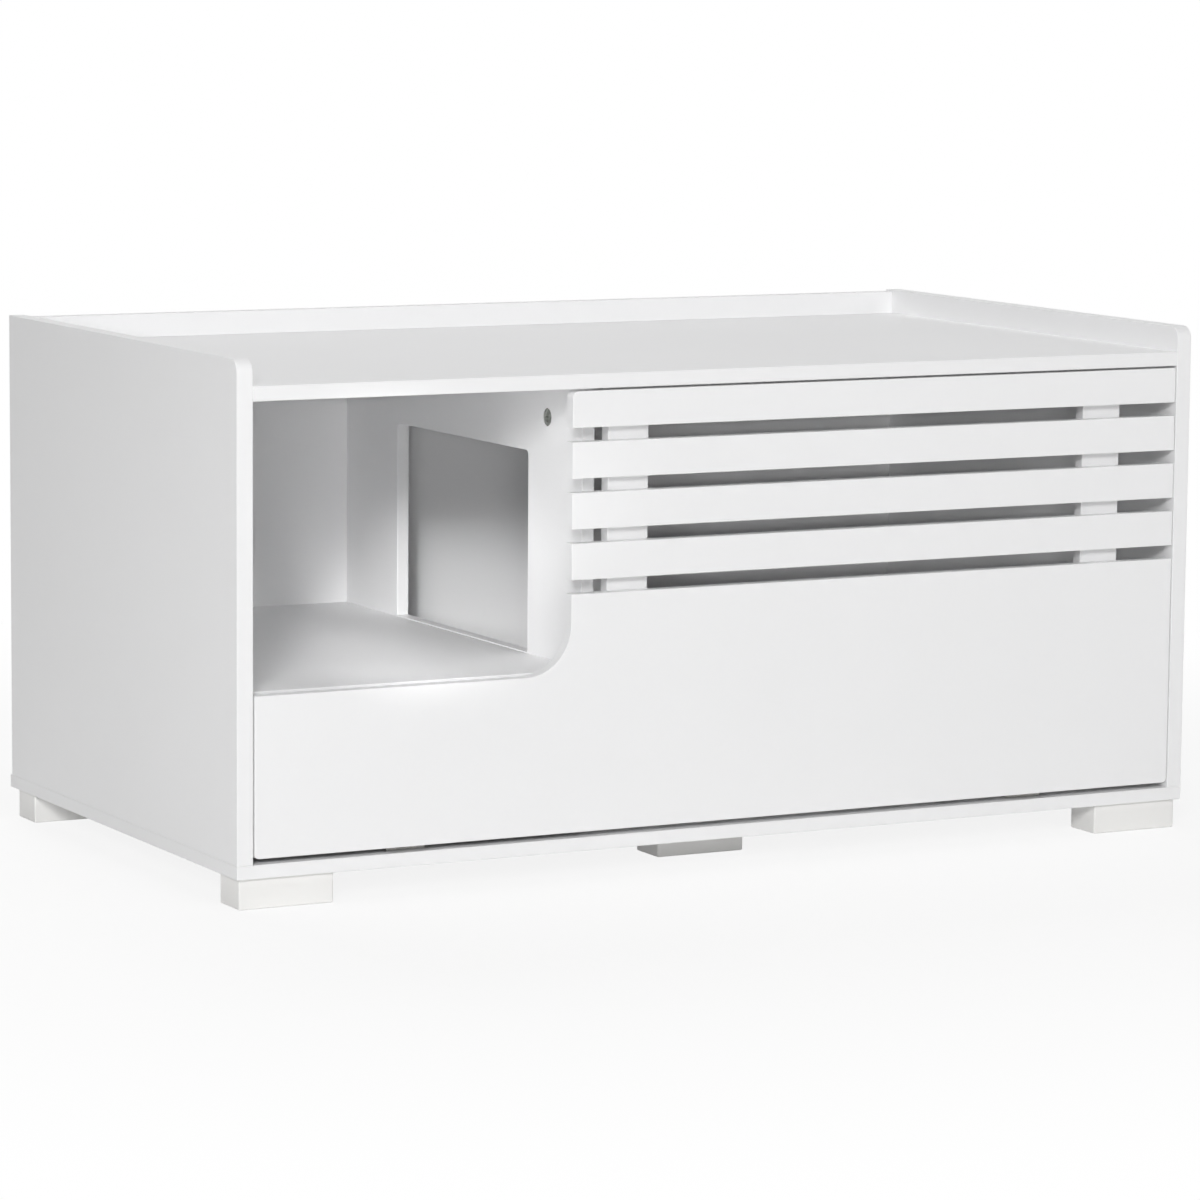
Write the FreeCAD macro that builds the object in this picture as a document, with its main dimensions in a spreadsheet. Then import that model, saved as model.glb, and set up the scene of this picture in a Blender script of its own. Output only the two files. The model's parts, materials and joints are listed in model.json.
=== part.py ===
import FreeCAD, Part
import os
import re
import Sketcher
from FreeCAD import Placement, Rotation, Vector

# Cat cabinet with a drop-down front, in millimetres.
# The origin is on the floor under the middle of the cabinet, +Z is up and the front faces -Y.

os.makedirs("parts", exist_ok=True)

# Counts
SLAT_COUNT = 4

# Driving dimensions
DIMENSIONS = {
    # Carcass boards
    "cabinet_width": 960,
    "cabinet_depth": 524,
    "base_overhang": 4,
    "side_height": 430,
    "side_thickness": 15,
    "panel_thickness": 12,
    "top_thickness": 13,
    "edge_round": 0.6,
    "side_corner_radius": 12,
    "lip_height": 23,
    "back_drop": 1.5,
    # Inside boards
    "entry_width": 324,
    "divider_setback": 24,
    "ledge_height": 146,
    "ledge_setback": 16,
    "passage_front_margin": 127.5,
    "passage_back_margin": 111.5,
    "passage_sill": 0.8,
    "passage_header": 66,
    "passage_radius": 5,
    # Feet
    "foot_height": 27,
    "foot_width": 88,
    "foot_depth": 40,
    "foot_round": 1.6,
    "foot_side_inset": 4,
    "foot_front_inset": 5,
    "foot_back_inset": 7,
    "middle_foot_setback": 72,
    "middle_foot_shift": 8,
    "foot_screw_margin": 19,
    "counterbore_depth": 10,
    "counterbore_clearance": 1,
    # Flap door
    "door_thickness": 12,
    "door_side_gap": 1.5,
    "door_top_gap": 2,
    "door_bottom_gap": 5,
    "door_step_drop": 1.5,
    "door_cut_setback": 22,
    "door_cut_radius": 44,
    "door_corner_radius": 4,
    "door_shoulder": 70.5,
    "slat_gap": 12.4,
    "slat_corner_radius": 6,
    "batten_thickness": 12,
    "batten_width": 40,
    "batten_overlap": 110,
    "batten_top_drop": 2,
    "left_batten_inset": 41,
    "right_batten_inset": 53,
    "batten_screw_margin": 22,
    # Hinges
    "hinge_inset": 148.5,
    "pivot_depth": 6.5,
    "pivot_height": 6,
    "knuckle_diameter": 6,
    "pin_diameter": 3,
    "running_clearance": 0.05,
    "base_knuckle_length": 16,
    "leaf_knuckle_length": 10,
    "knuckle_end_gap": 0.25,
    "hinge_sheet": 2,
    "crank_gap": 3,
    "base_plate_depth": 28,
    "leaf_plate_height": 34,
    "hinge_screw_margin": 6.25,
    "notch_air": 0.5,
    "notch_headroom": 4,
    "notch_side_room": 2.5,
    # Catches
    "catch_block_width": 20,
    "catch_ear": 8,
    "catch_flange_thickness": 4,
    "catch_depth": 18,
    "catch_height": 18,
    "catch_air_gap": 0.3,
    "magnet_wall": 3,
    "magnet_depth": 6,
    "strike_side_margin": 3,
    "strike_height": 12,
    "strike_thickness": 1.5,
    "strike_top_margin": 1,
    # Cam fittings
    "cam_diameter": 15,
    "cam_floor": 2.4,
    "cam_sink": 0.4,
    "cam_bore_clearance": 0.35,
    "cam_offset": 33,
    "cam_cross_length": 8.4,
    "cam_cross_width": 1.7,
    "cam_cross_depth": 2.2,
    "cam_mark_length": 2.6,
    "cam_mark_width": 2,
    "cam_mark_depth": 0.5,
    "bolt_head_diameter": 5.2,
    "bolt_head_length": 3,
    "bolt_neck_diameter": 4,
    "bolt_thread_diameter": 6,
    "bolt_floor": 3,
    "bolt_bore_clearance": 0.3,
    "divider_cam_inset": 91,
    "top_cam_inset": 70,
    "back_cam_inset": 80,
    "ledge_cam_inset": 70,
    # Dowels
    "dowel_diameter": 6,
    "dowel_floor": 2,
    "dowel_chamfer": 1,
    "dowel_spacing": 32,
    "back_dowel_inset": 165,
    # Screws
    "base_screw_diameter": 4.5,
    "base_screw_head": 9,
    "base_screw_length": 45,
    "base_screw_inset": 110,
    "back_screw_inset": 165,
    "foot_screw_diameter": 4,
    "foot_screw_head": 8,
    "batten_screw_diameter": 3.5,
    "batten_screw_head": 7,
    "plate_screw_diameter": 3,
    "plate_screw_head": 5.6,
    "screw_floor": 4,
    "recess_width": 0.9,
    "recess_depth": 1.1,
    # Shared by every hole and cut
    "hole_clearance": 0.1,
    "cut_overrun": 5,
}

# Places worked out from the driving dimensions
DERIVED = {
    "half_width": "cabinet_width / 2",
    "inner_half": "half_width - side_thickness",
    "front_plane": "-cabinet_depth / 2",
    "base_rear": "cabinet_depth / 2",
    "rear_plane": "base_rear - base_overhang",
    "back_front": "rear_plane - panel_thickness",
    "base_top": "foot_height + panel_thickness",
    "side_top": "base_top + side_height",
    "table_top": "side_top - lip_height",
    "table_under": "table_top - top_thickness",
    "table_middle": "table_top - top_thickness / 2",
    "back_top": "side_top - back_drop",
    "divider_left": "-inner_half + entry_width",
    "divider_middle": "divider_left + panel_thickness / 2",
    "divider_front": "front_plane + divider_setback",
    "ledge_top": "base_top + ledge_height",
    "ledge_under": "ledge_top - panel_thickness",
    "ledge_middle": "ledge_top - panel_thickness / 2",
    "ledge_front": "front_plane + ledge_setback",
    "passage_front": "front_plane + passage_front_margin",
    "passage_back": "back_front - passage_back_margin",
    "passage_bottom": "ledge_top + passage_sill",
    "passage_top": "table_under - passage_header",
    "foot_outer_x": "half_width - foot_side_inset - foot_width / 2",
    "foot_front_y": "front_plane + foot_front_inset + foot_depth / 2",
    "foot_rear_y": "rear_plane - foot_back_inset - foot_depth / 2",
    "middle_front_y": "front_plane + middle_foot_setback + foot_depth / 2",
    "middle_rear_y": "rear_plane - middle_foot_setback - foot_depth / 2",
    "door_left": "-inner_half + door_side_gap",
    "door_right": "inner_half - door_side_gap",
    "door_bottom": "base_top + door_bottom_gap",
    "door_top": "table_under - door_top_gap",
    "door_back": "front_plane + door_thickness",
    "door_step": "ledge_top - door_step_drop",
    "door_cut": "divider_left - door_cut_setback",
    "grille_bottom": "door_step + door_shoulder",
    "slat_pitch": "(door_top - grille_bottom) / %d" % SLAT_COUNT,
    "slat_height": "slat_pitch - slat_gap",
    "batten_back": "door_back + batten_thickness",
    "batten_top": "door_top - batten_top_drop",
    "batten_bottom": "grille_bottom - batten_overlap",
    "left_batten_x": "door_cut + left_batten_inset + batten_width / 2",
    "right_batten_x": "door_right - right_batten_inset - batten_width / 2",
    "hinge_x": "door_right - hinge_inset",
    "pivot_y": "front_plane + pivot_depth",
    "pivot_z": "door_bottom + pivot_height",
    "knuckle_radius": "knuckle_diameter / 2",
    "knuckle_bore": "pin_diameter + 2 * running_clearance",
    "base_knuckle_half": "base_knuckle_length / 2",
    "leaf_knuckle_start": "base_knuckle_half + knuckle_end_gap",
    "hinge_width": "2 * (leaf_knuckle_start + leaf_knuckle_length)",
    "hinge_screw_reach": "hinge_width / 2 - hinge_screw_margin",
    "notch_reach": "hinge_width / 2 + notch_side_room",
    "notch_front": "pivot_y - knuckle_radius - notch_air",
    "notch_top": "pivot_z + knuckle_radius + notch_headroom",
    "crank_front": "door_back + crank_gap",
    "crank_back": "crank_front + hinge_sheet",
    "leaf_plate_bottom": "pivot_z + hinge_sheet",
    "leaf_back": "door_back + hinge_sheet",
    "strike_top": "batten_top - strike_top_margin",
    "strike_back": "batten_back + strike_thickness",
    "catch_front": "strike_back + catch_air_gap",
    "catch_under": "table_under - catch_height",
    "flange_under": "table_under - catch_flange_thickness",
    "catch_back": "catch_front + catch_depth",
    "magnet_half": "catch_block_width / 2 - magnet_wall",
    "magnet_bottom": "catch_under + magnet_wall",
    "magnet_top": "flange_under - magnet_wall",
    "strike_half": "batten_width / 2 - strike_side_margin",
    "cam_depth": "panel_thickness - cam_floor - cam_sink",
    "cam_bore_diameter": "cam_diameter + 2 * cam_bore_clearance",
    "cam_bore_depth": "cam_sink + cam_depth + hole_clearance",
    "cam_bolt_level": "panel_thickness / 2",
    "bolt_thread_length": "panel_thickness - bolt_floor",
    "bolt_bore_diameter": "bolt_head_diameter + 2 * bolt_bore_clearance",
    "bolt_end": "cam_offset + bolt_thread_length",
    "dowel_half": "panel_thickness - dowel_floor",
    "back_dowel_spread": "2 * (inner_half - back_dowel_inset)",
    "back_screw_spread": "2 * (inner_half - back_screw_inset)",
    "counterbore_diameter": "foot_screw_head + 2 * counterbore_clearance",
    "foot_screw_length": "foot_height - counterbore_depth + panel_thickness - screw_floor",
    "batten_screw_length": "batten_thickness + door_thickness - screw_floor",
    "hinge_base_screw_length": "hinge_sheet + panel_thickness - screw_floor",
    "hinge_leaf_screw_length": "hinge_sheet + door_thickness - screw_floor",
    "catch_screw_length": "catch_flange_thickness + panel_thickness - screw_floor",
    "strike_screw_length": "strike_thickness + batten_thickness - screw_floor",
}

DIRECTIONS = {
    "+x": Vector(1, 0, 0),
    "-x": Vector(-1, 0, 0),
    "+y": Vector(0, 1, 0),
    "-y": Vector(0, -1, 0),
    "+z": Vector(0, 0, 1),
    "-z": Vector(0, 0, -1),
}
SIDES = {"left": "-", "right": "+"}

# Diameter, head and length of the screws in each group
SCREWS = {
    "base_screws": ("base_screw_diameter", "base_screw_head", "base_screw_length"),
    "foot_screws": ("foot_screw_diameter", "foot_screw_head", "foot_screw_length"),
    "batten_screws": ("batten_screw_diameter", "batten_screw_head", "batten_screw_length"),
    "hinge_base_screws": ("plate_screw_diameter", "plate_screw_head", "hinge_base_screw_length"),
    "hinge_leaf_screws": ("plate_screw_diameter", "plate_screw_head", "hinge_leaf_screw_length"),
    "catch_screws": ("plate_screw_diameter", "plate_screw_head", "catch_screw_length"),
    "strike_screws": ("plate_screw_diameter", "plate_screw_head", "strike_screw_length"),
}

# Places of three fasteners in a row, as shares of the row's spread
ROW_OF_THREE_SHARES = (-0.5, 0, 0.5)

doc = FreeCAD.newDocument("cat_cabinet")
sheet = doc.addObject("Spreadsheet::Sheet", "Sheet")
nodes = {}
cutters = {}
copies = {}
screw_masters = {}


def fill_sheet():
    """Write the driving dimensions as numbers and the worked-out places as formulas, one row each."""
    rows = {alias: str(value) for alias, value in DIMENSIONS.items()}
    rows.update({alias: "=" + formula for alias, formula in DERIVED.items()})
    for row, (alias, content) in enumerate(rows.items(), start=1):
        sheet.set("A%d" % row, alias)
        sheet.set("B%d" % row, content)
        sheet.setAlias("B%d" % row, alias)
    doc.recompute()


def bound(formula):
    """Turn a formula of sheet names into an expression that a property can follow."""

    def cell(word):
        name = word.group()
        return "Sheet." + name if name in DIMENSIONS or name in DERIVED else name

    return re.sub(r"[a-z][a-z0-9_]*", cell, formula)


def place(item, where, turn=None):
    """Bind an object's position to three formulas, with a fixed turn."""
    if turn:
        item.Placement = Placement(Vector(), turn)
    for axis, formula in zip("xyz", where):
        item.setExpression("Placement.Base." + axis, bound(formula))


def moved(where, direction, distance):
    """Three formulas for a point moved along one axis direction by a formula's length."""
    axis = "xyz".index(direction[1])
    shifted = list(where)
    shifted[axis] = "%s %s (%s)" % (shifted[axis], direction[0], distance)
    return tuple(shifted)


def opposite(direction):
    """The other way along the same axis."""
    return ("-" if direction[0] == "+" else "+") + direction[1]


def box(name, low, high):
    """A rectangular block between two corners."""
    block = doc.addObject("Part::Box", name)
    for side, start, end in zip(("Length", "Width", "Height"), low, high):
        block.setExpression(side, bound("(%s) - (%s)" % (end, start)))
    place(block, low)
    return block


def cylinder(name, diameter, length, start, direction):
    """A round bar from a start point along one axis direction."""
    bar = doc.addObject("Part::Cylinder", name)
    bar.setExpression("Radius", bound("(%s) / 2" % diameter))
    bar.setExpression("Height", bound(length))
    place(bar, start, Rotation(Vector(0, 0, 1), DIRECTIONS[direction]))
    return bar


def cone(name, wide, narrow, start, direction):
    """A right-angled countersink that narrows along one axis direction."""
    sink = doc.addObject("Part::Cone", name)
    sink.setExpression("Radius1", bound("(%s) / 2" % wide))
    sink.setExpression("Radius2", bound("(%s) / 2" % narrow))
    sink.setExpression("Height", bound("((%s) - (%s)) / 2" % (wide, narrow)))
    place(sink, start, Rotation(Vector(0, 0, 1), DIRECTIONS[direction]))
    return sink


def sketch_loops(body, name, role, start, loops):
    """A sketch of closed straight-sided loops whose corners follow pairs of formulas."""
    sketch = body.newObject("Sketcher::SketchObject", name)
    plane = next(item for item in body.Origin.OriginFeatures if item.Role == role)
    sketch.AttachmentSupport = [(plane, "")]
    sketch.MapMode = "FlatFace"
    sketch.setExpression("AttachmentOffset.Base.z", bound(start))
    for corners in loops:
        first = sketch.GeometryCount
        count = len(corners)
        for step in range(count):
            angle = Rotation(Vector(0, 0, 1), 360 * step / count)
            next_angle = Rotation(Vector(0, 0, 1), 360 * (step + 1) / count)
            side = Part.LineSegment(angle.multVec(Vector(1, 0, 0)), next_angle.multVec(Vector(1, 0, 0)))
            sketch.addGeometry(side, False)
        for step in range(count):
            following = first + (step + 1) % count
            sketch.addConstraint(Sketcher.Constraint("Coincident", first + step, 2, following, 1))
        for step, corner in enumerate(corners):
            for kind, formula in zip(("DistanceX", "DistanceY"), corner):
                index = sketch.addConstraint(Sketcher.Constraint(kind, -1, 1, first + step, 1, 0.0))
                sketch.setExpression("Constraints[%d]" % index, bound(formula))
    return sketch


def rectangle(low_u, low_v, high_u, high_v):
    """The four corners of an upright rectangle."""
    return [(low_u, low_v), (high_u, low_v), (high_u, high_v), (low_u, high_v)]


def corner_edges(feature, axis, spots):
    """Names of the straight edges along an axis that pass through one of the named spots."""
    found = []
    across = [index for index in range(3) if index != axis]
    for number, edge in enumerate(feature.Shape.Edges, start=1):
        start = edge.Vertexes[0].Point
        end = edge.Vertexes[-1].Point
        flat = all(abs(start[index] - end[index]) < Part.Precision.confusion() for index in across)
        for spot in spots:
            targets = [float(sheet.get(alias)) for alias in spot]
            near = all(abs(start[index] - value) < Part.Precision.confusion() * 10
                       for index, value in zip(across, targets))
            if flat and near:
                found.append("Edge%d" % number)
    if len(found) != len(spots):
        raise RuntimeError("%s: %d of %d corners found" % (feature.Name, len(found), len(spots)))
    return found


def board(name, role, start, thickness, loops, corners=(), easing="edge_round"):
    """A board padded from its outline, with chosen corners rounded and every edge eased."""
    body = doc.addObject("PartDesign::Body", name + "_board")
    outline = sketch_loops(body, name + "_outline", role, start, loops)
    feature = body.newObject("PartDesign::Pad", name + "_pad")
    feature.Profile = outline
    feature.setExpression("Length", bound(thickness))
    doc.recompute()
    axis = {"YZ_Plane": 0, "XZ_Plane": 1, "XY_Plane": 2}[role]
    for number, (radius, spots) in enumerate(corners):
        edges = corner_edges(feature, axis, spots)
        rounded = body.newObject("PartDesign::Fillet", "%s_corner_%d" % (name, number))
        rounded.Base = (feature, edges)
        rounded.setExpression("Radius", bound(radius))
        doc.recompute()
        feature = rounded
    eased = body.newObject("PartDesign::Fillet", name + "_edges")
    eased.Base = (feature, ["Edge1"])
    eased.UseAllEdges = True
    eased.setExpression("Radius", bound(easing))
    doc.recompute()
    nodes[name] = body


def fuse(name, members):
    """One piece made of several blocks that meet."""
    joined = doc.addObject("Part::MultiFuse", name)
    joined.Shapes = members
    return joined


def cut_from(name, tool):
    """Keep a cutting tool for a named piece until all of its holes are known."""
    cutters.setdefault(name, []).append(tool)


def bore(name, diameter, depth, mouth, direction):
    """Drill a named piece from a mouth point, starting outside it by the overrun."""
    start = moved(mouth, opposite(direction), "cut_overrun")
    length = "%s + cut_overrun" % depth
    cut_from(name, cylinder(name + "_bore", diameter, length, start, direction))


def copy_of(group, master, where, turn):
    """Put one more copy of a fastener into a named group."""
    link = doc.addObject("App::Link", group + "_copy")
    link.LinkedObject = master
    place(link, where, turn)
    copies.setdefault(group, []).append(link)


def turned_body(name, profile):
    """A round piece turned about its own X axis from a half profile."""
    body = doc.addObject("PartDesign::Body", name)
    outline = sketch_loops(body, name + "_profile", "XY_Plane", "0", [profile])
    turned = body.newObject("PartDesign::Revolution", name + "_turned")
    turned.Profile = outline
    turned.ReferenceAxis = (outline, ["H_Axis"])
    turned.Angle = 360
    doc.recompute()
    return body


def pocket(body, name, role, start, loop, depth, reverse):
    """Sink a straight-sided recess into a body and make sure that it really cuts."""
    before = body.Shape.Volume
    outline = sketch_loops(body, name + "_outline", role, start, [loop])
    recess = body.newObject("PartDesign::Pocket", name)
    recess.Profile = outline
    recess.Reversed = reverse
    recess.setExpression("Length", bound(depth))
    doc.recompute()
    if body.Shape.Volume >= before:
        raise RuntimeError(name + " cuts nothing")


def cross(length, width):
    """The twelve corners of a cross-shaped recess about the middle."""
    reach = "%s / 2" % length
    half = "%s / 2" % width
    quarter = [(reach, "-" + half), (reach, half), (half, half)]
    loop = []
    for turn in range(4):
        for u, v in quarter:
            loop.append((u, v))
        quarter = [(("-" + v).replace("--", ""), u) for u, v in quarter]
    return loop


def screw_master(group):
    """The countersunk screw of one group, made once, along +X with its head face at the origin."""
    if group in screw_masters:
        return screw_masters[group]
    diameter, head, length = SCREWS[group]
    profile = [
        ("0", "0"),
        (length, "0"),
        ("%s - %s" % (length, diameter), "%s / 2" % diameter),
        ("(%s - %s) / 2" % (head, diameter), "%s / 2" % diameter),
        ("0", "%s / 2" % head),
    ]
    body = turned_body(group + "_master", profile)
    loop = cross(diameter, "recess_width")
    pocket(body, group + "_recess", "YZ_Plane", "0", loop, "recess_depth", True)
    screw_masters[group] = body
    return body


def screw(group, mouth, direction, through, into):
    """Set a countersunk screw through one piece into another, with drilled holes in both."""
    diameter, head, length = SCREWS[group]
    wide = "%s + 2 * hole_clearance" % head
    narrow = "%s + 2 * hole_clearance" % diameter
    depth = "%s + hole_clearance" % length
    cut_from(through, cone(through + "_sink", wide, narrow, mouth, direction))
    for piece in (through, into):
        bore(piece, narrow, depth, mouth, direction)
    copy_of(group, screw_master(group), mouth, Rotation(Vector(1, 0, 0), DIRECTIONS[direction]))


def cam_masters():
    """The cam disc, face up with its bolt along +X, and the bolt that it draws in."""
    cam = doc.addObject("PartDesign::Body", "cam_master")
    disc = cam.newObject("PartDesign::AdditiveCylinder", "cam_disc")
    disc.setExpression("Radius", bound("cam_diameter / 2"))
    disc.setExpression("Height", bound("cam_depth"))
    disc.setExpression("AttachmentOffset.Base.z", bound("-cam_depth"))
    plane = next(item for item in cam.Origin.OriginFeatures if item.Role == "XY_Plane")
    disc.AttachmentSupport = [(plane, "")]
    disc.MapMode = "FlatFace"
    doc.recompute()
    slot = cross("cam_cross_length", "cam_cross_width")
    pocket(cam, "cam_cross", "XY_Plane", "0", slot, "cam_cross_depth", False)
    tip = "cam_diameter / 2 - cam_mark_width / 2"
    mark = [
        (tip, "0"),
        ("%s - cam_mark_length" % tip, "cam_mark_width / 2"),
        ("%s - cam_mark_length" % tip, "-cam_mark_width / 2"),
    ]
    pocket(cam, "cam_mark", "XY_Plane", "0", mark, "cam_mark_depth", False)
    mouth = ("-bolt_head_length / 2 - hole_clearance", "0", "cam_sink - cam_bolt_level")
    hollow = cylinder("cam_hollow", "bolt_bore_diameter", "cam_diameter", mouth, "+x")
    hollowed = doc.addObject("Part::Cut", "cam_hollowed")
    hollowed.Base = cam
    hollowed.Tool = hollow
    head = "bolt_head_length / 2"
    profile = [
        ("-" + head, "0"),
        ("bolt_end", "0"),
        ("bolt_end", "bolt_neck_diameter / 2"),
        ("bolt_end - (bolt_thread_diameter - bolt_neck_diameter) / 2", "bolt_thread_diameter / 2"),
        ("cam_offset", "bolt_thread_diameter / 2"),
        ("cam_offset", "bolt_neck_diameter / 2"),
        (head, "bolt_neck_diameter / 2"),
        (head, "bolt_head_diameter / 2"),
        ("-" + head, "bolt_head_diameter / 2"),
    ]
    bolt = turned_body("cam_bolt_master", profile)
    return hollowed, bolt


def cam_joint(carrier, receiver, face, normal, pull):
    """Join two boards: a cam in the carrier's face draws in a bolt that is screwed into the receiver."""
    turn = Rotation(DIRECTIONS[pull], Vector(), DIRECTIONS[normal], "ZXY")
    inward = opposite(normal)
    axis_point = moved(face, inward, "cam_bolt_level")
    mouth = moved(axis_point, pull, "cam_offset")
    bore(carrier, "cam_bore_diameter", "cam_bore_depth", face, inward)
    bore(carrier, "bolt_bore_diameter", "cam_offset", mouth, opposite(pull))
    thread = "bolt_thread_diameter + 2 * hole_clearance"
    bore(receiver, thread, "bolt_thread_length + hole_clearance", mouth, pull)
    copy_of("cam_locks", cam_master, moved(face, inward, "cam_sink"), turn)
    copy_of("cam_bolts", bolt_master, axis_point, Rotation(Vector(1, 0, 0), DIRECTIONS[pull]))


def dowel(first, second, joint, direction):
    """A dowel half in each of two boards, through a point of the face where they meet."""
    wide = "dowel_diameter + 2 * hole_clearance"
    deep = "dowel_half + hole_clearance"
    bore(first, wide, deep, joint, opposite(direction))
    bore(second, wide, deep, joint, direction)
    copy_of("wood_dowels", dowel_master, joint, Rotation(Vector(1, 0, 0), DIRECTIONS[direction]))


def carcass():
    """The fixed boards: two sides on the bottom panel, the top between them, the back and the inside."""
    for side in SIDES:
        start = "-half_width" if side == "left" else "inner_half"
        outline = rectangle("front_plane", "base_top", "rear_plane", "side_top")
        corner = ("side_corner_radius", [("front_plane", "side_top")])
        board(side + "_side_panel", "YZ_Plane", start, "side_thickness", [outline], [corner])
    outline = rectangle("-half_width", "front_plane", "half_width", "base_rear")
    board("bottom_panel", "XY_Plane", "foot_height", "panel_thickness", [outline])
    outline = rectangle("-inner_half", "front_plane", "inner_half", "back_front")
    board("top_panel", "XY_Plane", "table_under", "top_thickness", [outline])
    outline = rectangle("-inner_half", "base_top", "inner_half", "back_top")
    board("back_panel", "XZ_Plane", "-rear_plane", "panel_thickness", [outline])
    outline = rectangle("divider_front", "base_top", "back_front", "table_under")
    passage = rectangle("passage_front", "passage_bottom", "passage_back", "passage_top")
    corner = ("passage_radius", [("passage_front", "passage_top"), ("passage_back", "passage_top")])
    board("divider_panel", "YZ_Plane", "divider_left", "panel_thickness", [outline, passage], [corner])
    outline = rectangle("-inner_half", "ledge_front", "divider_left", "back_front")
    board("raised_floor", "XY_Plane", "ledge_under", "panel_thickness", [outline])


def feet():
    """Six block feet, each held by two screws sunk into its underside."""
    columns = {"left": "-foot_outer_x", "middle": "middle_foot_shift", "right": "foot_outer_x"}
    for row in ("front", "rear"):
        for column, middle_x in columns.items():
            name = "foot_%s_%s" % (row, column)
            middle_y = ("middle_%s_y" if column == "middle" else "foot_%s_y") % row
            outline = rectangle(
                middle_x + " - foot_width / 2",
                middle_y + " - foot_depth / 2",
                middle_x + " + foot_width / 2",
                middle_y + " + foot_depth / 2",
            )
            board(name, "XY_Plane", "0", "foot_height", [outline], easing="foot_round")
            for way in "+-":
                x = "%s %s (foot_width / 2 - foot_screw_margin)" % (middle_x, way)
                mouth = (x, middle_y, "counterbore_depth")
                screw("foot_screws", mouth, "+z", name, "bottom_panel")
                bore(name, "counterbore_diameter", "counterbore_depth", (x, middle_y, "0"), "+z")


def carcass_joints():
    """Cams, dowels and hidden screws that hold the boards together."""
    front_rear = [("front_plane + %s", "front"), ("back_front - %s", "rear")]
    for formula, row in front_rear:
        face = ("divider_left", formula % "divider_cam_inset", "table_under - cam_offset")
        cam_joint("divider_panel", "top_panel", face, "-x", "+z")
        joint = ("divider_middle", formula % "(divider_cam_inset + dowel_spacing)", "table_under")
        dowel("divider_panel", "top_panel", joint, "+z")
        side_y = formula % "base_screw_inset"
        mouth = ("divider_middle", side_y, "foot_height")
        screw("base_screws", mouth, "+z", "bottom_panel", "divider_panel")
        for side, sign in SIDES.items():
            panel = side + "_side_panel"
            outward = sign + "x"
            inner_x = sign + "inner_half"
            cam_x = "%s (inner_half - cam_offset)" % sign
            middle_x = "%s (half_width - side_thickness / 2)" % sign
            cam_joint("top_panel", panel, (cam_x, formula % "top_cam_inset", "table_under"), "-z", outward)
            dowel_y = formula % "(top_cam_inset + dowel_spacing)"
            dowel("top_panel", panel, (inner_x, dowel_y, "table_middle"), outward)
            dowel_y = formula % "(base_screw_inset - dowel_spacing)"
            dowel("bottom_panel", panel, (middle_x, dowel_y, "base_top"), "+z")
            mouth = (middle_x, side_y, "foot_height")
            screw("base_screws", mouth, "+z", "bottom_panel", panel)
        ledge_y = {"front": "ledge_front + ledge_cam_inset", "rear": "back_front - ledge_cam_inset"}[row]
        face = ("-inner_half + cam_offset", ledge_y, "ledge_under")
        cam_joint("raised_floor", "left_side_panel", face, "-z", "-x")
        face = ("divider_left - cam_offset", ledge_y, "ledge_under")
        cam_joint("raised_floor", "divider_panel", face, "-z", "+x")
    ledge_middle_y = "(ledge_front + back_front) / 2"
    dowel("raised_floor", "left_side_panel", ("-inner_half", ledge_middle_y, "ledge_middle"), "-x")
    dowel("raised_floor", "divider_panel", ("divider_left", ledge_middle_y, "ledge_middle"), "+x")
    for side, sign in SIDES.items():
        cam_x = "%s (inner_half - cam_offset)" % sign
        for level in ("base_top + back_cam_inset", "table_under - back_cam_inset"):
            cam_joint("back_panel", side + "_side_panel", (cam_x, "rear_plane", level), "+y", sign + "x")
    for share in ROW_OF_THREE_SHARES:
        dowel_x = "%s * back_dowel_spread" % share
        dowel("top_panel", "back_panel", (dowel_x, "back_front", "table_middle"), "+y")
        mouth = ("%s * back_screw_spread" % share, "rear_plane - panel_thickness / 2", "foot_height")
        screw("base_screws", mouth, "+z", "bottom_panel", "back_panel")


def door():
    """The L-shaped flap panel, the slats above its wide part and the battens that carry them."""
    outline = [
        ("door_left", "door_bottom"),
        ("door_right", "door_bottom"),
        ("door_right", "grille_bottom"),
        ("door_cut", "grille_bottom"),
        ("door_cut", "door_step"),
        ("door_left", "door_step"),
    ]
    corners = [
        ("door_cut_radius", [("door_cut", "door_step")]),
        ("door_corner_radius", [("door_left", "door_bottom"), ("door_right", "door_bottom")]),
    ]
    board("door_panel", "XZ_Plane", "-door_back", "door_thickness", [outline], corners)
    for number in range(SLAT_COUNT):
        top = "door_top - %d * slat_pitch" % number
        outline = rectangle("door_cut", top + " - slat_height", "door_right", top)
        corners = [("slat_corner_radius", [("door_cut", "door_top")])] if number == 0 else []
        name = "slat_%d" % (number + 1)
        board(name, "XZ_Plane", "-door_back", "door_thickness", [outline], corners)
    for side in SIDES:
        name = side + "_batten"
        middle = side + "_batten_x"
        low_x = middle + " - batten_width / 2"
        high_x = middle + " + batten_width / 2"
        outline = rectangle(low_x, "batten_bottom", high_x, "batten_top")
        board(name, "XZ_Plane", "-batten_back", "batten_thickness", [outline])
        levels = [("door_panel", "grille_bottom - batten_screw_margin")]
        levels.append(("door_panel", "batten_bottom + batten_screw_margin"))
        for number in range(SLAT_COUNT):
            level = "door_top - %d * slat_pitch - slat_height / 2" % number
            levels.append(("slat_%d" % (number + 1), level))
        for piece, level in levels:
            mouth = (middle, "batten_back", level)
            screw("batten_screws", mouth, "-y", name, piece)


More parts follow.
